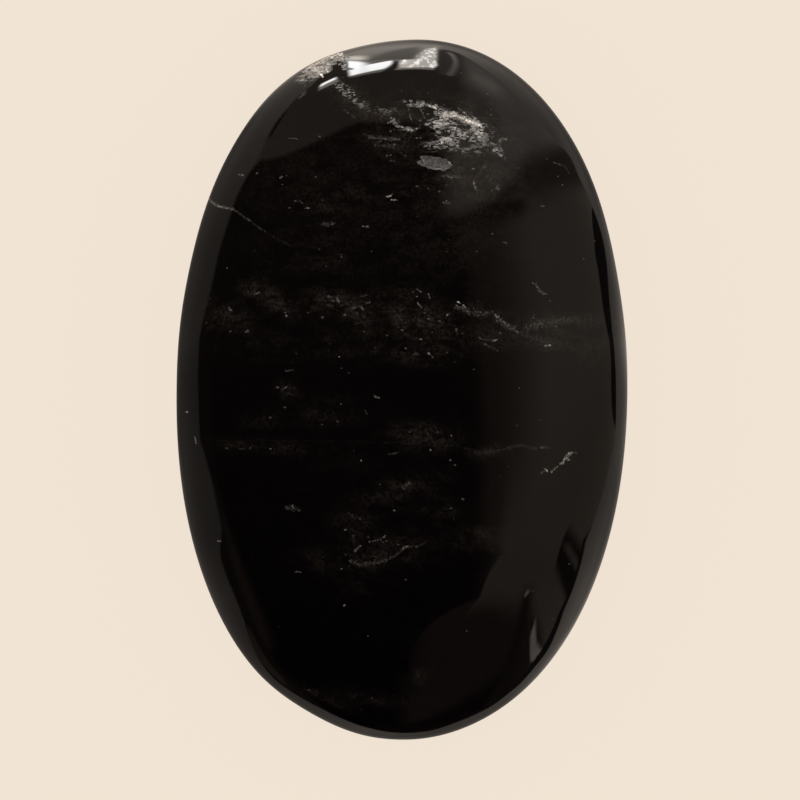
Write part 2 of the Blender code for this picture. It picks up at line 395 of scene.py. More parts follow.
def chip_depth(points):
    """How far inside the chip's outline points lie, in widths of its wall; below 0 outside."""
    plan = points[:, :2] / MM
    outline = plan_mm(CHIP_OUTLINE)
    depth = np.full(len(plan), np.inf)
    for start, end in zip(outline, np.roll(outline, -1, 0)):
        along = (end - start) / np.linalg.norm(end - start)
        depth = np.minimum(depth, (plan - start) @ (along[1], -along[0]))
    bite = np.linalg.norm(plan - plan_mm(CHIP_BITE), axis=1) - CHIP_BITE_RADIUS / MM
    depth = np.minimum(depth, bite) * MM / CHIP_WALL
    for height, turn in CHIP_WAVES:
        depth = depth + height * np.sin(plan @ turn)
    return np.where(points[:, 2] > GIRDLE_HEIGHT, depth, NO_CHIP)


def marks(points):
    """Every mark's strength at points on the stone."""
    plan = points[:, :2] / MM
    crown = points[:, 2] > GIRDLE_HEIGHT
    stroke = np.zeros(len(points))
    tone = np.zeros(len(points))
    for path, half_width, light in PATHS:
        near = np.clip(1 - path_distance(plan, path, 2 * half_width) / half_width / 2, 0, 1)
        nearer = near > stroke
        stroke = np.where(nearer, near, stroke)
        tone = np.where(nearer, light, tone)
    return {
        "stroke": stroke * crown,
        "tone": tone * crown,
        "cloud": blobs(plan, CLOUDS) * crown,
        "patch": np.clip(whole_patch(points) - blobs(plan, HOLLOWS), 0, 1),
        "chip": np.clip(chip_depth(points), 0, 1),
    }


# -------- the fine mesh

BALL_LEVEL = 6
REFINE_ROUNDS = 6
CROWN_SPACING = 0.9 * MM
BELLY_SPACING = 1.3 * MM
RIM_SPACING = 0.4 * MM
RIM_REACH = 2.5 * MM
STROKE_SPACING = 0.07 * MM
PATCH_SPACING = 0.15 * MM
PATCH_INSIDE = 0.15  # the patch's strength from which it is so
PATCH_NEARBY = 0.03  # and from which it is twice as much
CHIP_SPACING = 0.1 * MM
SPACING_GROWTH = 0.5  # how fast the spacing grows away from marks
SPACING_REACH = 2.0  # and how far off, in millimetres, they still count
SPLIT_OVER = 1.4  # an edge this many times too long is split
# The faint waves of hand polishing: turns per metre along X and Y, and phase
WAVES = ((9, 5, 0.4), (-6, 11, 2.1), (15, -7, 4.0))
WAVE_HEIGHT = 0.0025 * MM
GRAIN_PER_MM = 3.2
GRAIN_FRACTAL = (1.0, 2.0, 3)  # dimension, lacunarity and octaves
PATCH_ROUGH_FROM = 0.2  # the patch's strength from which it is rough
PATCH_SUNK_FROM = 0.3  # and from which it is sunk,
PATCH_SUNK_MOST = 0.5  # up to so much more
PATCH_ROUGHNESS = 0.03 * MM
CHIP_ROUGHNESS = 0.025 * MM
STROKE_SINK = 0.01 * MM
STROKE_CLEAR_FROM = 0.4  # the strength from which shading shows its relief
DETAIL_GAIN = 4  # how fast shading goes over from the plain form to the relief
STEEP = 0.9  # a direction this near to Z needs another helper
NORMAL_STEP = 2e-3


def spacing(points):
    """How far apart vertices should lie at points."""
    plan = points[:, :2] / MM
    crown = points[:, 2] > GIRDLE_HEIGHT
    wanted = np.where(crown, CROWN_SPACING, BELLY_SPACING)
    wanted = np.where(np.abs(points[:, 2] - GIRDLE_HEIGHT) < RIM_REACH, RIM_SPACING, wanted)
    for path, half_width, _ in PATHS:
        away = np.clip(path_distance(plan, path, SPACING_REACH) - 2 * half_width, 0, None) * MM
        near = np.where(crown, STROKE_SPACING + SPACING_GROWTH * away, np.inf)
        wanted = np.minimum(wanted, near)
    patch = whole_patch(points)
    for strength, apart in ((PATCH_INSIDE, PATCH_SPACING), (PATCH_NEARBY, 2 * PATCH_SPACING)):
        wanted = np.where(patch > strength, np.minimum(wanted, apart), wanted)
    away = np.clip(-chip_depth(points), 0, None) * CHIP_WALL
    return np.minimum(wanted, CHIP_SPACING + SPACING_GROWTH * away)


def fine_ball():
    """A ball of triangles, finer where the stone has marks."""
    ball = bmesh.new()
    bmesh.ops.create_icosphere(ball, subdivisions=BALL_LEVEL, radius=1)
    for _ in range(REFINE_ROUNDS):
        points = stone_points(np.array([vertex.co for vertex in ball.verts]))
        ends = np.array([[vertex.index for vertex in edge.verts] for edge in ball.edges])
        starts, stops = points[ends.T]
        length = np.linalg.norm(starts - stops, axis=1)
        too_long = length > SPLIT_OVER * spacing((starts + stops) / 2)
        edges = [edge for edge, split in zip(ball.edges, too_long) if split]
        if not edges:
            break
        bmesh.ops.subdivide_edges(ball, edges=edges, cuts=1, use_grid_fill=True)
        bmesh.ops.triangulate(ball, faces=[face for face in ball.faces if len(face.verts) > 3])
        for vertex in ball.verts:
            vertex.co.normalize()
        ball.verts.index_update()
    return ball


def smooth_normals(directions):
    """The plain form's normals, from small steps to each side."""
    helper = np.where(np.abs(directions[:, 2:]) < STEEP, (0, 0, 1), (1, 0, 0))
    side = unit(np.cross(helper, directions))
    sideways, onward = (
        stone_points(directions + NORMAL_STEP * way) - stone_points(directions - NORMAL_STEP * way)
        for way in (side, np.cross(directions, side))
    )
    return unit(np.cross(sideways, onward))


def grain(points, chosen):
    """Fine noise from -1 to 1 at the chosen points, and 0 elsewhere."""
    values = np.zeros(len(points))
    spots = points[chosen] / MM * GRAIN_PER_MM
    values[chosen] = [noise.fractal(Vector(spot), *GRAIN_FRACTAL) for spot in spots]
    return values


def relief(points, found):
    """How far the surface stands proud of the plain form."""
    height = np.zeros(len(points))
    for per_x, per_y, phase in WAVES:
        turns = points[:, 0] * per_x + points[:, 1] * per_y
        height += WAVE_HEIGHT * np.sin(math.tau * turns + phase)
    rough = grain(points, (found["patch"] > PATCH_ROUGH_FROM) | (found["chip"] > 0))
    height -= CHIP_DEPTH * found["chip"]
    height += CHIP_ROUGHNESS * rough * (found["chip"] > 0)
    sunk = np.clip(found["patch"] - PATCH_SUNK_FROM, 0, PATCH_SUNK_MOST)
    height -= PATCH_ROUGHNESS * sunk * (1 + rough)
    return height - STROKE_SINK * np.clip(found["stroke"] * 2 - 1, 0, 1)


def placed(name, data):
    """A new object in the scene."""
    made = bpy.data.objects.new(name, data)
    bpy.context.scene.collection.objects.link(made)
    return made


def make_stone():
    """The fine mesh of the stone, with its relief and its marks."""
    ball = fine_ball()
    directions = np.array([vertex.co for vertex in ball.verts])
    data = bpy.data.meshes.new("polished_stone")
    ball.to_mesh(data)
    ball.free()
    points = stone_points(directions)
    normals = smooth_normals(directions)
    found = marks(points)
    points = points + normals * relief(points, found)[:, None]
    points[:, 2] = np.maximum(points[:, 2], 0)
    data.vertices.foreach_set("co", points.ravel())
    data.shade_smooth()
    data.update()
    meshed = np.empty(len(points) * 3)
    data.vertices.foreach_get("normal", meshed)
    clear = (found["patch"] - PATCH_ROUGH_FROM, found["chip"], found["stroke"] - STROKE_CLEAR_FROM)
    detail = np.clip(DETAIL_GAIN * np.maximum.reduce(clear), 0, 1)
    blended = normals + (meshed.reshape(-1, 3) - normals) * detail[:, None]
    data.normals_split_custom_set_from_vertices(blended)
    for name, values in found.items():
        layer = data.attributes.new(name, "FLOAT", "POINT")
        layer.data.foreach_set("value", values.astype(np.float32))
    return placed("polished_stone", data)


# -------- node graphs

SOCKETS = {  # the sockets that are set, where they aren't a node's first
    "Mix": (0, 6, 7),
    "TexNoise": ("Vector", "Scale", "Detail", "Roughness"),
    "TexVoronoi": ("Vector", "Scale"),
    "Mapping": ("Vector", "Rotation", "Scale"),
    "FloatCurve": ("Value",),
    "BsdfPrincipled": ("Base Color", "Roughness", "IOR"),
}
MIX_COLOUR = 2  # the socket where a mix node gives its colour


class Graph:
    """Short ways to add shader nodes and join them."""

    def __init__(self, owner):
        owner.use_nodes = True
        self.tree = owner.node_tree
        self.tree.nodes.clear()

    def node(self, kind, *values, **settings):
        """A new node, with values for its sockets."""
        made = self.tree.nodes.new("ShaderNode" + kind)
        for name, value in settings.items():
            setattr(made, name, value)
        for socket, value in zip(SOCKETS.get(kind, range(len(values))), values):
            self.join(made.inputs[socket], value)
        return made

    def join(self, socket, value):
        """Sets a socket to a number or colour, or links another node's socket to it."""
        if isinstance(value, bpy.types.NodeSocket):
            self.tree.links.new(value, socket)
        else:
            socket.default_value = value

    def math(self, operation, *values):
        return self.node("Math", *values, operation=operation).outputs[0]

    def times(self, value, *others):
        for other in others:
            value = self.math("MULTIPLY", value, other)
        return value

    def stirred(self, value, texture, strength):
        """The value, raised where the texture is over a half and lowered elsewhere."""
        return self.math("MULTIPLY_ADD", self.math("SUBTRACT", texture, 0.5), strength, value)

    def vector(self, operation, *values):
        made = self.node("VectorMath", *values, operation=operation)
        return made.outputs[1 if operation in ("DOT_PRODUCT", "LENGTH") else 0]

    def smooth(self, value, low, high, *ends):
        """0 up to low and 1 from high on, or two other ends, with an eased change between them."""
        made = self.node("MapRange", value, low, high, *ends, interpolation_type="SMOOTHSTEP")
        return made.outputs[0]

    def mix(self, share, first, second):
        """A colour that is first at share 0 and second at share 1."""
        return self.node("Mix", share, first, second, data_type="RGBA").outputs[MIX_COLOUR]

    def noise(self, place, scale, detail, roughness):
        return self.node("TexNoise", place, scale, detail, roughness).outputs["Fac"]

    def uneven(self, place, noise, change):
        """A share that changes between two values of a noise."""
        return self.smooth(self.noise(place, *noise), *change)

    def cells(self, place, scale):
        """How far off a cell's middle is, and three random numbers of the cell's."""
        made = self.node("TexVoronoi", place, scale).outputs
        return made["Distance"], self.node("SeparateColor", made["Color"]).outputs

    def attribute(self, name):
        return self.node("Attribute", attribute_name=name).outputs["Fac"]

    def warm(self, light):
        """Light of the warm white that the minerals and the table have."""
        return self.node("CombineColor", *(self.times(light, part) for part in WARMTH)).outputs[0]


# -------- the stone's material

WARMTH = (1.0, 0.88, 0.77)
BEDDING = (0.6, 1.0, 1.0)  # draws the looks out along X
# Noises: waves to a millimetre, detail and roughness; and where a share follows one, the two
# values between which it changes, and the share's own values there
MOTTLE = ((1.6, 3.0, 0.6), (0.46, 0.74))
BROAD_MOTTLE = ((0.14, 3.0, 0.5), (0.5, 0.75, 0.0, 0.4))
COARSE_CLOUD = ((0.8, 3.0, 0.6), (0.34, 0.62, 0.15, 1.0))
FINE_CLOUD = ((3.2, 4.0, 0.8), (0.36, 0.68, 0.1, 1.8))
CHIP_GRAIN = ((3.5, 4.0, 0.7), (0.38, 0.62))
RAGGED = (5.0, 2.0, 0.7)
RIDGES = (3.4, 4.0, 0.75)
LUMPS = (1.3, 3.0, 0.6)
FLECKS_PER_MM = 6.5

GROUND = (0.0008, 0.0004, 0.0005, 1)
MOTTLE_LIGHT = 0.0013
BROAD_MOTTLE_LIGHT = 0.0014
CLOUD_COLOUR = (0.028, 0.0215, 0.017, 1)
CLOUD_STRENGTH = 0.7

SPECK_COLOUR = (0.1, 0.088, 0.075, 1)
SPECK_CELLS_PER_MM = 4.6
SPECKS_IN_CLOUDS = 0.3  # how much likelier they are there
SPECK_FROM = 0.998  # a cell whose number is over this has one
SPECK_SIZES = (0.3, 0.13)  # the part that varies, and the least
SPECK_RAGGEDNESS = 0.5
SPECK_EDGE = 0.1
SPECK_CONTRAST = 3.0

PATCH_COLOURS = ((0.035, 0.031, 0.027, 1), (0.66, 0.6, 0.53, 1))
PATCH_SLANT = (0, 0, math.radians(35))
PATCH_STRETCH = (0.5, 1.0, 1.0)
PATCH_STRENGTHS = (1.7, 0.8, 0.55)  # of its ridges, grains and lumps
PATCH_EDGE = (0.2, 0.5)
PATCH_REACH = (0.14, 0.36)
PATCH_LIGHTING = (0.33, 1.73)
CHIP_COLOURS = ((0.034, 0.031, 0.028, 1), (0.104, 0.095, 0.086, 1))
CHIP_EDGE = (0.0, 0.1)

STROKE_RAGGEDNESS = 2.2
STROKE_GRAIN = 0.5
STROKE_EDGE = (0.4, 0.8)
STROKE_REACH = (0.05, 0.4)
FLICKER_CONTRAST = 2.0
FLICKER = (1.5, 0.35)  # the part of its light that varies, and the least

POLISH = 0.03  # its roughness, and what the patch and the chip add
PATCH_MATT = 0.45
CHIP_MATT = 0.6


def warm(light):
    return (*(light * part for part in WARMTH), 1)


def clouded(graph, place, drawn, cloud):
    """The dark mottled ground with brown-grey clouds, uneven on a large and a small scale."""
    ground = graph.mix(graph.uneven(drawn, *MOTTLE), GROUND, warm(MOTTLE_LIGHT))
    ground = graph.mix(graph.uneven(drawn, *BROAD_MOTTLE), ground, warm(BROAD_MOTTLE_LIGHT))
    share = graph.times(cloud, graph.uneven(place, *FINE_CLOUD), CLOUD_STRENGTH)
    return graph.mix(share, ground, CLOUD_COLOUR)


def speck_share(graph, drawn, cloud, ragged):
    """Grains of pale mineral, many in the clouds and few elsewhere."""
    away, chances = graph.cells(drawn, SPECK_CELLS_PER_MM)
    lively = graph.math("ADD", chances[0], graph.times(cloud, SPECKS_IN_CLOUDS))
    lively = graph.math("GREATER_THAN", lively, SPECK_FROM)
    size = graph.math("MULTIPLY_ADD", chances[1], *SPECK_SIZES)
    size = graph.stirred(size, ragged, SPECK_RAGGEDNESS)
    near = graph.smooth(graph.math("SUBTRACT", size, away), -SPECK_EDGE, SPECK_EDGE)
    return graph.times(near, lively, graph.math("POWER", chances[2], SPECK_CONTRAST))


def patch_looks(graph, place):
    """The pale patch's share and colour: light mineral in slanting ridges, broken into grains."""
    patch = graph.attribute("patch")
    slanted = graph.node("Mapping", place, PATCH_SLANT, PATCH_STRETCH).outputs[0]
    mosaic = graph.cells(slanted, FLECKS_PER_MM)[1][0]
    textures = (graph.noise(slanted, *RIDGES), mosaic, graph.noise(place, *LUMPS))
    edge = patch
    for texture, strength in zip(textures, PATCH_STRENGTHS):
        edge = graph.stirred(edge, texture, strength)
    shown = graph.times(graph.smooth(edge, *PATCH_EDGE), graph.smooth(patch, *PATCH_REACH))
    return shown, graph.mix(graph.smooth(edge, *PATCH_LIGHTING), *PATCH_COLOURS)


def stroke_looks(graph, place, ragged):
    """The strokes' share and colour, ragged and broken into grains."""
    stroke = graph.attribute("stroke")
    flecks = graph.cells(place, FLECKS_PER_MM)[1]
    inside = graph.stirred(stroke, ragged, STROKE_RAGGEDNESS)
    inside = graph.stirred(inside, flecks[0], STROKE_GRAIN)
    shown = graph.times(graph.smooth(inside, *STROKE_EDGE), graph.smooth(stroke, *STROKE_REACH))
    flicker = graph.math("POWER", flecks[1], FLICKER_CONTRAST)
    flicker = graph.math("MULTIPLY_ADD", flicker, *FLICKER)
    return shown, graph.warm(graph.times(graph.attribute("tone"), flicker))


def stone_material():
    """Near-black stone with brown-grey clouds, a pale grainy patch, fine pale flecks, and a few painted
    highlights and painted shadows.
    """
    material = bpy.data.materials.new("polished_stone")
    graph = Graph(material)
    place = graph.node("TexCoord").outputs["Object"]
    place = graph.vector("MULTIPLY", place, (1 / MM, 1 / MM, 1 / MM))
    drawn = graph.vector("MULTIPLY", place, BEDDING)
    ragged = graph.noise(place, *RAGGED)
    cloud = graph.times(graph.attribute("cloud"), graph.uneven(drawn, *COARSE_CLOUD))

    colour = clouded(graph, place, drawn, cloud)
    colour = graph.mix(speck_share(graph, drawn, cloud, ragged), colour, SPECK_COLOUR)
    patch, mineral = patch_looks(graph, place)
    colour = graph.mix(patch, colour, mineral)
    chip = graph.smooth(graph.attribute("chip"), *CHIP_EDGE)
    colour = graph.mix(chip, colour, graph.mix(graph.uneven(place, *CHIP_GRAIN), *CHIP_COLOURS))
    # the strokes' colour is mostly pale mineral, with painted highlights and painted shadow at the chip, in
    # a crack and on the rim
    stroke, flecks = stroke_looks(graph, place, ragged)
    colour = graph.mix(stroke, colour, flecks)

    matt = graph.math("MAXIMUM", graph.times(patch, PATCH_MATT), graph.times(chip, CHIP_MATT))
    shader = graph.node("BsdfPrincipled", colour, graph.math("ADD", matt, POLISH), IOR)
    graph.node("OutputMaterial", shader.outputs[0])
    return material


# -------- the stage

FLOOR_REACH = 3.0
FLOOR_COLOUR = (0.88, 0.776, 0.658, 1)
FLOOR_GLOW = 0.94
AMBIENT = (1.0, 1.0, 1.0, 1)
SOLID_TONE = 4  # what the stone's own dark body adds under every reflection
# How much green and blue a reflection has against red, by its tone
TINT_TONES = (15, 30, 45, 220, 249)
TINTS = ((0.77, 0.835, 0.9, 0.91, 1.0), (0.62, 0.67, 0.8, 0.81, 1.0))

# Where the table ends in the stone's reflections, going round
SKYLINE = (
    (592, 206), (598, 222), (602, 235), (605, 250), (607, 265), (608, 280), (609, 300), (611, 315),
    (612, 330), (614, 345), (615, 360), (616, 380), (616, 400), (616, 420), (615, 433), (613, 450),
    (609, 465), (606, 480), (602, 495), (599, 505), (594, 520), (586, 540), (582, 560), (572, 592),
    (564, 610), (557, 630), (548, 650), (534, 668), (520, 684), (508, 694), (492, 706), (470, 717),
    (452, 724), (430, 731), (420, 732.3), (405, 733.2), (390, 732.3), (380, 730.7), (370, 728.5),
    (345, 720), (322, 709), (303, 699), (287, 689), (275, 680), (266, 670), (259, 660), (254, 650),
    (250, 640), (244, 620), (237, 602), (232, 590), (226, 575), (221, 560), (220, 545), (222, 530),
    (220, 520), (216, 500), (213, 485), (209, 470), (205, 455), (200, 440), (198, 400), (198, 370),
    (199, 340), (203, 320), (208, 300), (213, 280), (218, 255), (224, 235), (232, 210), (237, 195),
    (246, 178), (255, 163), (262, 150), (268, 135), (277, 120), (288, 108), (297, 97), (311, 86), (330, 70),
    (345, 57), (360, 52), (380, 49), (400, 48), (420, 48), (440, 49), (455, 52), (466, 57), (480, 66),
    (510, 90), (540, 122), (558, 145), (565, 150), (572, 160), (580, 180), (588, 195),
)
# Where the dark foot of things behind the table begins: on the right, and round below
FOOT = (
    (591, 206), (592, 222), (594, 240), (595, 255), (598, 270), (600, 285), (602, 300), (604, 315),
    (607, 330), (610, 345), (611, 360), (611, 380), (611, 400), (613, 420), (616, 434), (614, 450),
    (610, 465), (607, 480), (603, 495), (600, 505), (595, 519), (583, 540), (579, 560), (569, 592),
    (560, 610), (552, 630), (541, 651), (529, 668), (516, 683), (504, 693), (490, 703), (470, 715),
    (452, 723), (430, 729), (405, 732),
)
FOOT_LIGHT = 0.028
FOOT_MARGIN = 0.02  # how far past its ends, in radians, it is out of the way,
FOOT_AWAY = 20  # this far out on the map,
FOOT_STEP = 3  # in steps of so many degrees
FOOT_MIDDLE = math.radians(-50)  # about the direction where the foot is widest
SKYLINE_SOFTNESS = 0.03
LEAST_SOFTNESS = 1e-4
TABLE_SPAN = (1.3, 2.4)  # the map radii between which its light passes into the rim's
RIM_RADIUS = 2.1  # where on the map the rim's tones hold, and the share mirrored there
RIM_SHARE = 0.15
# Pixels going round, the tones that the table shows there, and the tones farther out at the rim
TABLE_TONES = (
    (618, 390, 52, 58), (617, 343, 56, 76), (611, 293, 48, 62), (601, 240, 50, 58), (583, 183, 56, 50),
    (552, 124, 54, 54), (501, 74, 68, 68), (436, 50, 92, 80), (367, 54, 108, 104), (304, 79, 60, 82),
    (255, 129, 46, 45), (223, 186, 42, 44), (205, 243, 36, 41), (194, 294, 36, 40), (188, 343, 35, 40),
    (185, 390, 31, 36), (187, 436, 34, 36), (191, 486, 36, 42), (202, 539, 33, 42), (220, 596, 40, 48),
    (254, 653, 34, 43), (304, 699, 42, 48), (367, 726, 53, 56), (436, 726, 43, 50), (499, 699, 54, 55),
    (548, 649, 58, 72), (580, 593, 66, 68), (599, 537, 55, 56), (611, 486, 52, 54), (617, 436, 52, 60),
)
# What the stone mirrors above the table. A shape is x and y of a pixel, its tone there, and its
# edges. An edge is x and y of the two or three pixels that it runs through, and a softness in
# pixels. Going along it, the shape lies on the right. Later shapes cover earlier ones.
ROOM = (
    # the right-hand side of the room, dim and then light
    (490, 470, 16, (478, 545, 482, 400, 462, 225, 12), (590, 560, 512, 549, 460, 547, 3)),
    (570, 390, 33.5, (508, 560, 528, 400, 505, 225, 32)),
    (560, 500, 30, (503, 560, 504, 520, 508, 485, 7), (470, 535, 560, 450, 28)),
    # the dark diagonal, and the lighter parts above it
    (530, 190, 20, (575, 185, 520, 208, 465, 238, 9), (458, 235, 448, 80, 10)),
    (500, 212, 13, (456, 218, 490, 204, 520, 200, 3), (530, 205, 500, 222, 460, 228, 5),
     (520, 190, 530, 215, 6), (460, 236, 456, 208, 7)),
    (500, 165, 36, (527, 140, 520, 165, 506, 189, 4), (509, 184, 490, 198, 450, 214, 4),
     (447, 215, 452, 80, 12)),
    (530, 118, 47, (568, 143, 544, 149, 516, 159, 3), (505, 185, 466, 60, 14)),
    # the ceiling, its lower edge crossing the stone's left shoulder
    (410, 90, 27.5, (362, 122, 310, 144, 262, 159, 2.5), (450, 102, 362, 122, 7), (460, 66, 462, 130, 6)),
    (400, 112, 27.5, (444, 127, 362, 122, 4), (366, 140, 364, 60, 7), (460, 66, 462, 130, 6)),
    # faint streaks beside it
    (490, 84, 58, (470, 100, 466, 66, 7), (476, 66, 512, 96, 6), (512, 92, 500, 104, 6),
     (505, 104, 468, 86, 6)),
    (484, 82, 66, (472, 84, 472, 72, 3), (472, 72, 499, 86, 3), (499, 86, 496, 94, 3),
     (496, 94, 470, 79, 3)),
    (488, 116, 35, (474, 104, 480, 98, 5), (480, 98, 504, 120, 6), (502, 118, 498, 134, 4),
     (498, 134, 474, 108, 5)),
    # low on the right, a mound with a lighter top
    (460, 650, 13, (402, 735, 410, 672, 5), (410, 672, 437, 619, 480, 597, 2.5), (470, 575, 600, 600, 9)),
    (460, 712, 6, (415, 722, 495, 676, 9), (505, 668, 522, 690, 6)),
    (500, 578, 28, (480, 597, 491, 570, 512, 549, 1.5), (545, 590, 510, 598, 470, 606, 7),
     (512, 549, 560, 560, 5)),
    (512, 630, 10, (507, 660, 524, 588, 4), (532, 595, 515, 662, 4), (516, 588, 534, 590, 4)),
    (552, 600, 31, (545, 653, 534, 600, 2), (534, 600, 540, 582, 3), (530, 584, 575, 578, 5)),
    (563, 565, 9, (568, 604, 561, 584, 555, 566, 1.2), (555, 568, 560, 548, 569, 526, 1),
     (568, 526, 583, 549, 1.5)),
    (573, 556, 34, (575, 567, 564, 545, 1), (560, 547, 571, 540, 1.5), (567, 543, 580, 566, 1)),
    (533, 640, 68, (530.5, 659, 530.5, 636, 0.7), (530, 638, 535, 620, 0.7), (535, 620, 535.5, 659, 0.7),
     (537, 659, 530, 659, 1)),
    (537, 650, 64, (531, 659, 531, 640, 0.7), (534, 640, 543, 651, 0.7), (543, 649, 531, 662, 1)),
    (527, 594, 55, (524, 596, 527, 590, 0.8), (527, 590, 530, 591, 0.8), (530, 591, 526, 597, 0.8),
     (526, 597, 524, 596, 0.8)),
    # low on the left
    (228, 510, 13, (206, 440, 236, 548, 257, 650, 6)),
    (206, 400, 9, (212, 330, 213, 450, 3)),
    (262, 652, 20, (250, 628, 264, 655, 286, 681, 1.2), (283, 684, 259, 659, 246, 630, 1.2),
     (286, 680, 283, 686, 1), (244, 632, 252, 626, 1)),
    (285, 110, 13, (303, 88, 287, 111, 271, 137, 0.8), (268, 136, 284, 110, 300, 87, 0.8),
     (271, 138, 267, 136, 1), (299, 88, 304, 90, 1)),
)
# The windows and the wall round them
WINDOWS = (
    (388, 57, 104, (346, 62, 350, 54, 1), (350, 54, 400, 46, 440, 46, 2), (440, 46, 438, 60, 1),
     (438, 60, 400, 61, 346, 62, 0.7)),
    (390, 56, 80, (366, 60, 389, 51.5, 411, 47.5, 1.2), (419, 46, 420, 54, 1), (420, 52, 413, 60, 1),
     (414, 60, 366, 61.5, 0.8)),
    (447, 60, 42, (438, 76, 439, 50, 1), (439, 50, 455, 52, 1.5), (455, 52, 461, 64, 453, 78, 1.5),
     (457, 76, 438, 74, 1.5)),
    (452, 64, 84, (447, 75, 453, 66, 446, 52, 1), (446, 52, 452, 53, 1), (452, 53, 457, 65, 450, 76, 1.2),
     (451, 76, 446, 75, 0.8)),
    (366, 75, 90, (392, 63, 388, 68, 380, 72.5, 0.8), (381, 71.8, 352, 77.2, 0.8), (351, 78, 350, 62, 0.8),
     (350, 64, 392, 60, 0.8)),
    (360, 68, 249, (350, 76, 347, 61, 0.6), (347, 61, 366, 62.5, 0.5), (366, 62, 366, 76, 2),
     (382, 69, 350, 76, 0.7)),
    (376, 66, 249, (362, 76, 362, 61, 2), (358, 61, 373, 63.8, 391, 60.5, 0.5),
     (392, 61, 387, 67, 378, 71.5, 0.7), (382, 69, 350, 76, 0.7)),
    (351, 69, 50, (346, 68, 354, 68.2, 0.4), (353.5, 67, 353.5, 71, 0.5), (354, 69.6, 346, 69.8, 0.4),
     (346, 70, 346, 67, 0.5)),
    (356, 58, 200, (347, 61, 347, 56, 0.7), (346, 56.8, 367, 56.4, 0.7), (367, 56, 364, 61, 1),
     (365, 60.2, 346, 60.4, 0.6)),
    (412, 69, 104, (395, 71, 396, 67, 0.7), (395, 68.3, 434, 68.3, 0.4), (434, 67, 434, 71, 0.7),
     (435, 70, 394, 70, 0.5)),
    (326, 86, 105, (319, 90, 320, 84, 1), (320, 84.6, 335, 77.4, 0.6), (336, 77, 339, 81, 0.8),
     (339, 81.5, 319, 90.5, 0.8)),
    (329, 82, 245, (320, 87, 321, 84, 0.8), (320, 84.8, 335, 77.6, 0.5), (335, 77, 337, 80, 0.8),
     (337, 78.8, 320, 87, 0.5)),
    (408, 64, 180, (399, 68, 400, 60, 0.7), (400, 60, 436, 60, 0.7), (436, 60, 435, 68, 0.7),
     (436, 68, 399, 68, 0.6)),
    (428, 58, 172, (414, 62, 421, 54, 427, 48, 0.8), (423, 50, 437, 48, 0.8), (436, 48, 435.5, 68, 0.8),
     (436, 66, 412, 66, 1)),
)
CURTAINED = 2  # so many of the last windows are seen through a thin curtain,
CURTAIN_TONE = 249  # and this bright between its folds
CURTAIN_FOLDS = (40, 10, 1)  # across and down, in the map's own units
CURTAIN_NOISE = ((1.0, 2.0, 0.6), (0.47, 0.68))
# The room's light, and the heights on the map between which it changes
ROOM_LIGHTS = (0.0025, 0.037)
ROOM_HEIGHTS = (-0.4, 0.5)
LEAST_DEPTH = 0.05  # keeps straight down on the map


def tinted(light, tone=0):
    """Light with the tint of a reflection that shows a tone."""
    return (light, *(light * np.interp(tone, TINT_TONES, tints) for tints in TINTS), 1)


def polish_light(tone):
    """The part of a tone's light that comes from the polish."""
    return linear(tone) - linear(SOLID_TONE)


def tone_light(tone, pixel):
    """How bright the surroundings must be for the polish to show a tone at a pixel."""
    return tinted(polish_light(tone) / mirrored(pixel)[1][0], tone)


def edge_mask(graph, spot, edge):
    """1 on the right hand going from the first pixel to the last, and 0 on the left."""
    *places, softness = edge
    start, *via, end = np.reshape(places, (-1, 2))
    middle = via[0] if via else (start + end) / 2
    pixels = (start, end, middle, middle + (1, 0), middle + (0, 1))
    first, last, halfway, beside, below = mirrored(pixels)[0]
    length = np.linalg.norm(last - first)
    along = (last - first) / length
    across = np.array((along[1], -along[0]))
    pixel = max(np.linalg.norm(beside - halfway), np.linalg.norm(below - halfway))
    width = max(LEAST_SOFTNESS, softness * pixel)
    height = graph.vector("DOT_PRODUCT", spot, (*across, 0))
    if via:
        reach = (halfway - first) @ along
        bend = (halfway - first) @ across / (reach * (length - reach))
        reach = graph.math("SUBTRACT", graph.vector("DOT_PRODUCT", spot, (*along, 0)), first @ along)
        reach = graph.math("MINIMUM", graph.math("MAXIMUM", reach, 0.0), length)
        bulge = graph.times(graph.math("SUBTRACT", length, reach), reach, bend)
        height = graph.math("SUBTRACT", height, bulge)
    return graph.smooth(height, first @ across - width, first @ across + width)


def round_curve(graph, turn, knots):
    """A value that follows knots of (share of the way round, value)."""
    top = max(value for _, value in knots)
    made = graph.node("FloatCurve", turn)
    curve = made.mapping.curves[0]
    curve.points[0].location = (0, knots[0][1] / top)
    curve.points[1].location = (1, knots[-1][1] / top)
    for share, value in knots[1:-1]:
        curve.points.new(share, value / top)
    for point in curve.points:
        point.handle_type = "VECTOR"
    made.mapping.update()
    return graph.math("MULTIPLY", made.outputs[0], top)


def turns(spots, start=0.0):
    """The turns from a direction to spots on the map."""
    angle = np.arctan2(spots[:, 1], spots[:, 0]) - start
    return np.arctan2(np.sin(angle), np.cos(angle))


def closed_knots(spots, values=None):
    """Knots of (share of the way round, value or reach), the same at both ends."""
    shares = turns(spots) / math.tau + 0.5
    values = np.linalg.norm(spots, axis=1) if values is None else values
    order = np.argsort(shares)
    knots = list(zip(shares[order], values[order]))
    closing = (knots[0][1] + knots[-1][1]) / 2
    return [(0, closing), *knots, (1, closing)]


def foot_knots():
    """The foot's outline where it has one, and elsewhere out of the way below the skyline."""
    spots = mirrored(FOOT)[0]
    rest = np.radians(np.arange(-180, 180, FOOT_STEP))
    rest = FOOT_AWAY * np.stack((np.cos(rest), np.sin(rest)), -1)
    around, away = turns(spots, FOOT_MIDDLE), turns(rest, FOOT_MIDDLE)
    clear = (away < around.min() - FOOT_MARGIN) | (away > around.max() + FOOT_MARGIN)
    return closed_knots(np.concatenate((spots, rest[clear])))


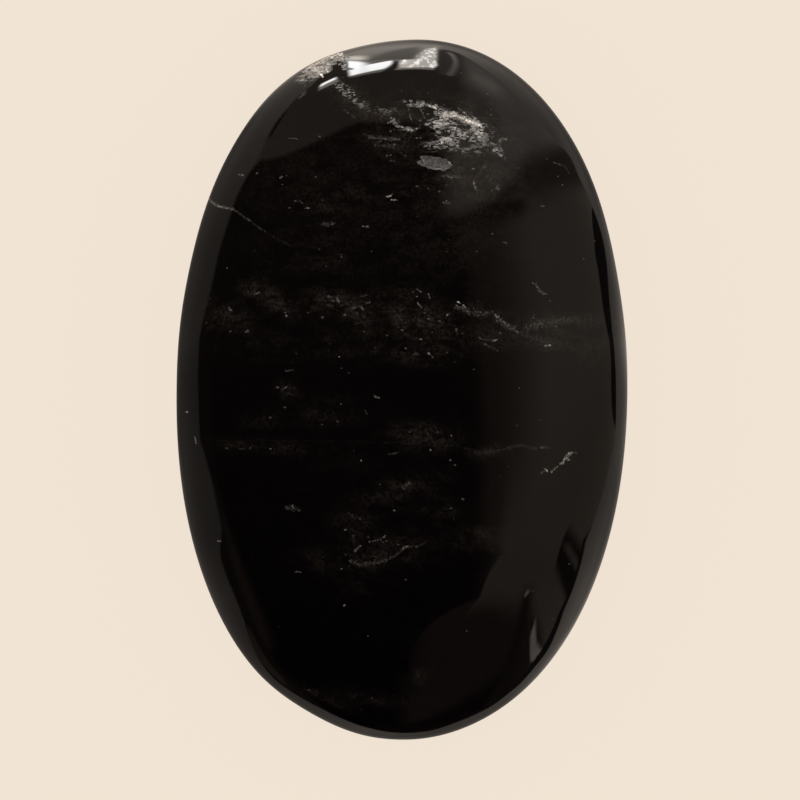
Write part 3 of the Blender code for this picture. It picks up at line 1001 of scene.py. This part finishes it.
def table_knots():
    """The table's light going round: as seen well inside the rim, and at the rim."""
    spots, shares = mirrored([row[:2] for row in TABLE_TONES])
    lights = np.array([[polish_light(tone) for tone in row[2:]] for row in TABLE_TONES])
    inner, outer = lights[:, 0] / shares, lights[:, 1]
    start, end = TABLE_SPAN
    share = (RIM_RADIUS - start) / (end - start)
    share = share**2 * (3 - 2 * share)
    outer = np.maximum((outer / RIM_SHARE - (1 - share) * inner) / share, 0)
    return closed_knots(spots, inner), closed_knots(spots, outer)


def lay(graph, spot, colour, shapes, strength=1.0):
    """The colour with shapes laid over it."""
    for across, down, tone, *edges in shapes:
        mask = graph.times(strength, *(edge_mask(graph, spot, edge) for edge in edges))
        colour = graph.mix(mask, colour, tone_light(tone, (across, down)))
    return colour


def surroundings(graph):
    """What the polish mirrors: a dim room over a pale table, as a colour by direction."""
    direction = graph.node("TexCoord").outputs["Generated"]
    ways = graph.node("SeparateXYZ", direction).outputs
    depth = graph.math("MAXIMUM", graph.math("ADD", ways[2], 1.0), LEAST_DEPTH)
    east, north = (graph.math("DIVIDE", way, depth) for way in ways[:2])
    spot = graph.node("CombineXYZ", east, north).outputs[0]

    colour = graph.mix(graph.smooth(north, *ROOM_HEIGHTS), *(tinted(light) for light in ROOM_LIGHTS))
    colour = lay(graph, spot, colour, ROOM)

    turn = graph.math("DIVIDE", graph.math("ARCTAN2", north, east), math.tau)
    turn = graph.math("ADD", turn, 0.5)
    reach = graph.vector("LENGTH", spot)
    inner, outer = (round_curve(graph, turn, knots) for knots in table_knots())
    table = graph.warm(graph.smooth(reach, *TABLE_SPAN, inner, outer))
    skyline = closed_knots(mirrored(SKYLINE)[0])
    for knots, below in ((foot_knots(), warm(FOOT_LIGHT)), (skyline, table)):
        depth = graph.math("SUBTRACT", reach, round_curve(graph, turn, knots))
        share = graph.smooth(depth, -SKYLINE_SOFTNESS, SKYLINE_SOFTNESS)
        colour = graph.mix(share, colour, below)

    colour = lay(graph, spot, colour, WINDOWS)
    folds = graph.uneven(graph.vector("MULTIPLY", spot, CURTAIN_FOLDS), *CURTAIN_NOISE)
    curtained = [(*row[:2], CURTAIN_TONE, *row[3:]) for row in WINDOWS[-CURTAINED:]]
    return lay(graph, spot, colour, curtained, folds)


def make_world():
    """Even light for matt surfaces, the room for polished ones, and plain cream behind."""
    world = bpy.data.worlds.new("studio")
    bpy.context.scene.world = world
    world.cycles.sampling_method = "NONE"
    graph = Graph(world)
    path = graph.node("LightPath").outputs
    colour = graph.mix(path["Is Glossy Ray"], AMBIENT, surroundings(graph))
    colour = graph.mix(path["Is Camera Ray"], colour, FLOOR_COLOUR)
    background = graph.node("Background", colour)
    graph.node("OutputWorld", background.outputs[0])


def floor_material():
    material = bpy.data.materials.new("floor")
    graph = Graph(material)
    matt = graph.node("BsdfDiffuse", FLOOR_COLOUR)
    glow = graph.node("Emission", FLOOR_COLOUR)
    both = graph.node("MixShader", FLOOR_GLOW, matt.outputs[0], glow.outputs[0])
    graph.node("OutputMaterial", both.outputs[0])
    return material


def make_floor():
    """A pale cream floor that takes only a faint shadow."""
    data = bpy.data.meshes.new("floor")
    reach = FLOOR_REACH
    corners = [(-reach, -reach, 0), (reach, -reach, 0), (reach, reach, 0), (-reach, reach, 0)]
    data.from_pydata(corners, [], [(0, 1, 2, 3)])
    data.materials.append(floor_material())
    floor = placed("floor", data)
    floor.visible_glossy = False


def make_camera():
    lens = bpy.data.cameras.new("camera")
    lens.lens = LENS_MM
    lens.sensor_width = SENSOR_MM
    lens.clip_start, lens.clip_end = CLIPPING
    camera = placed("camera", lens)
    camera.location = CAMERA_SPOT
    bpy.context.scene.camera = camera


stone = make_stone()
stone.data.materials.append(stone_material())
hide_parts(NODE)
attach(stone, "root")
make_floor()
make_world()
make_camera()
bpy.context.scene.view_settings.view_transform = "Standard"
